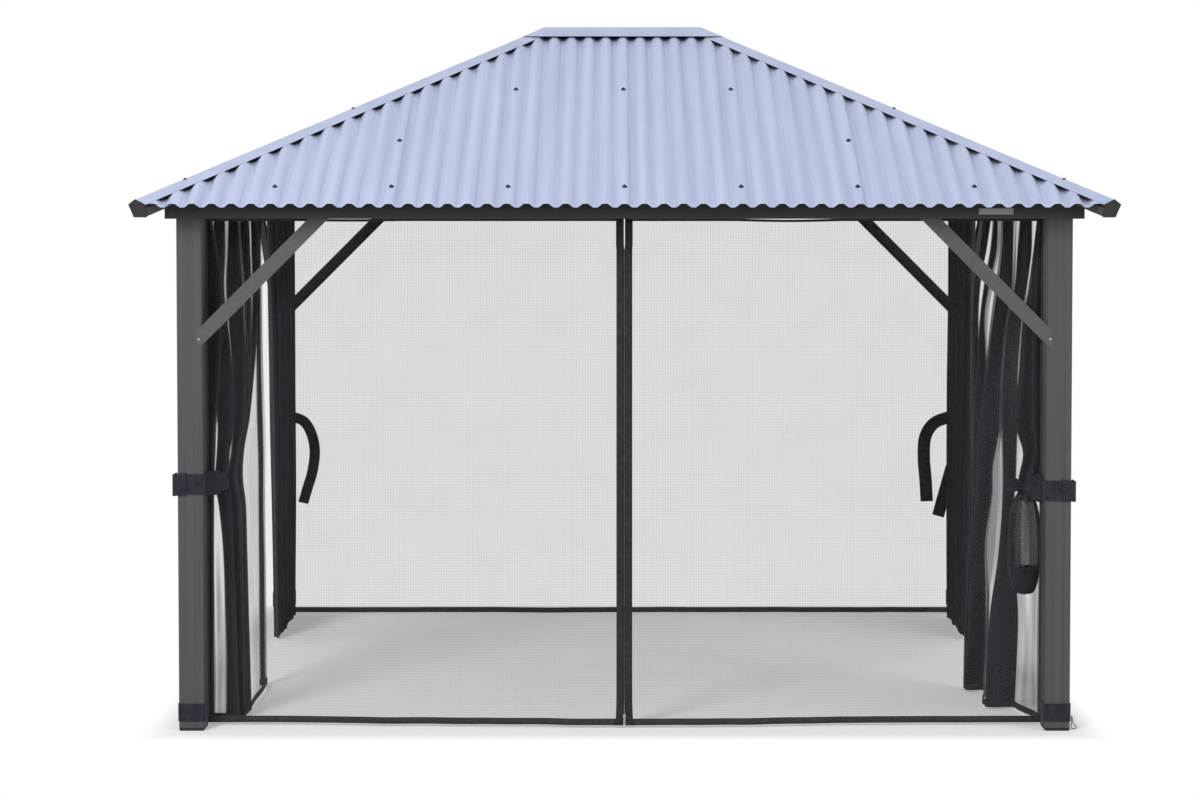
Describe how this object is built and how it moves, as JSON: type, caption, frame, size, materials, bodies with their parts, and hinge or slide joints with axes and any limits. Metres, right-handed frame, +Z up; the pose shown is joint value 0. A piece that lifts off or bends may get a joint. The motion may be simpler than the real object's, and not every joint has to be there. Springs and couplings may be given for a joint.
{
  "type": "hip-roofed metal garden gazebo with insect nets",
  "caption": "Garden gazebo with a corrugated metal hip roof on square posts, diagonal corner braces and hanging insect nets.",
  "frame": {"origin": "on the ground at the middle of the four posts", "axes": "+X along the long side to the right, front towards -Y, +Z up"},
  "size_m": [3.8584, 3.1584, 2.8697],
  "materials": {
    "frame_coating": "fine-textured dark grey powder coating on steel and aluminium sections",
    "roof_coating": "pale blue-grey coated steel sheet, satin",
    "moulded_black": "moulded dark grey plastic, finely grained",
    "net_mesh": "sheer dark grey polyester insect mesh with woven hems",
    "zip_tape": "woven zip tape, dark grey",
    "tie_webbing": "folded woven tie band, dark navy grey"
  },
  "bodies": {
    "root": {"beam_end_caps": "moulded_black", "beam_front": "frame_coating", "beam_left": "frame_coating", "beam_rear": "frame_coating", "beam_right": "frame_coating", "braces_front": "frame_coating", "braces_left": "frame_coating", "braces_rear": "frame_coating", "braces_right": "frame_coating", "eave_battens": "frame_coating", "foot_straps": "tie_webbing", "hip_cover_front_left": "roof_coating", "hip_cover_front_right": "roof_coating", "hip_cover_rear_left": "roof_coating", "hip_cover_rear_right": "roof_coating", "hip_end_caps": "moulded_black", "hip_rafter_front_left": "frame_coating", "hip_rafter_front_right": "frame_coating", "hip_rafter_rear_left": "frame_coating", "hip_rafter_rear_right": "frame_coating", "jack_rafters": "frame_coating", "loose_ties": "tie_webbing", "net_front_left": "net_mesh", "net_front_right": "net_mesh", "net_rails": "frame_coating", "net_rear_left": "net_mesh", "net_rear_right": "net_mesh", "post_feet": "moulded_black", "post_front_left": "frame_coating", "post_front_right": "frame_coating", "post_rear_left": "frame_coating", "post_rear_right": "frame_coating", "post_ties": "tie_webbing", "purlins": "frame_coating", "ridge_beam": "frame_coating", "ridge_cap": "roof_coating", "roof_sheet_front_1": "roof_coating", "roof_sheet_front_2": "roof_coating", "roof_sheet_front_3": "roof_coating", "roof_sheet_front_4": "roof_coating", "roof_sheet_left_1": "roof_coating", "roof_sheet_left_2": "roof_coating", "roof_sheet_left_3": "roof_coating", "roof_sheet_rear_1": "roof_coating", "roof_sheet_rear_2": "roof_coating", "roof_sheet_rear_3": "roof_coating", "roof_sheet_rear_4": "roof_coating", "roof_sheet_right_1": "roof_coating", "roof_sheet_right_2": "roof_coating", "roof_sheet_right_3": "roof_coating", "side_net_front_left": "net_mesh", "side_net_front_right": "net_mesh", "side_net_rear_left": "net_mesh", "side_net_rear_right": "net_mesh", "zip_front": "zip_tape"}
  },
  "joints": []
}
